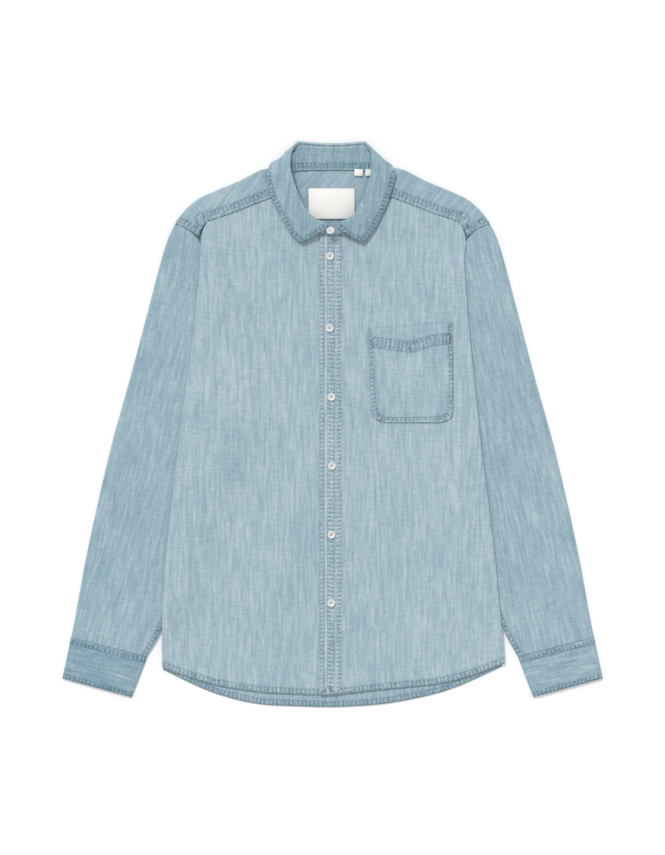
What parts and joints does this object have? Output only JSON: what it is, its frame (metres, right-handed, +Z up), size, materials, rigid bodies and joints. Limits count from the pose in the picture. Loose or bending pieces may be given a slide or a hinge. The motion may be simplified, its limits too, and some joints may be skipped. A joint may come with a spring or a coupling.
{
  "type": "chambray shirt",
  "caption": "Long-sleeved button-front chambray shirt laid flat, with a turned-down collar, a yoke, a chest pocket and cuffed sleeves at its sides.",
  "frame": {"origin": "on the surface that the shirt lies on, under the middle of the laid-out shirt's bounding box", "axes": "+X to the wearer's left sleeve, +Y from the hem to the collar, +Z up off the surface to the front of the shirt"},
  "size_m": [0.756, 0.7924, 0.0214],
  "materials": {
    "chambray": "light blue cotton chambray, washed, matt",
    "label_cloth": "off-white woven label tape",
    "button": "off-white shell-like resin, soft gloss"
  },
  "bodies": {
    "root": {"back": "chambray", "yoke": "chambray", "front_right": "chambray", "front_left": "chambray", "placket": "chambray", "sleeve_right": "chambray", "cuff_right": "chambray", "sleeve_left": "chambray", "cuff_left": "chambray", "collar_leaf": "chambray", "collar_stand": "chambray", "pocket": "chambray", "label": "label_cloth", "size_tab_1": "label_cloth", "size_tab_2": "label_cloth", "button_1": "button", "button_2": "button", "button_3": "button", "button_4": "button", "button_5": "button", "button_6": "button", "button_7": "button"}
  },
  "joints": []
}
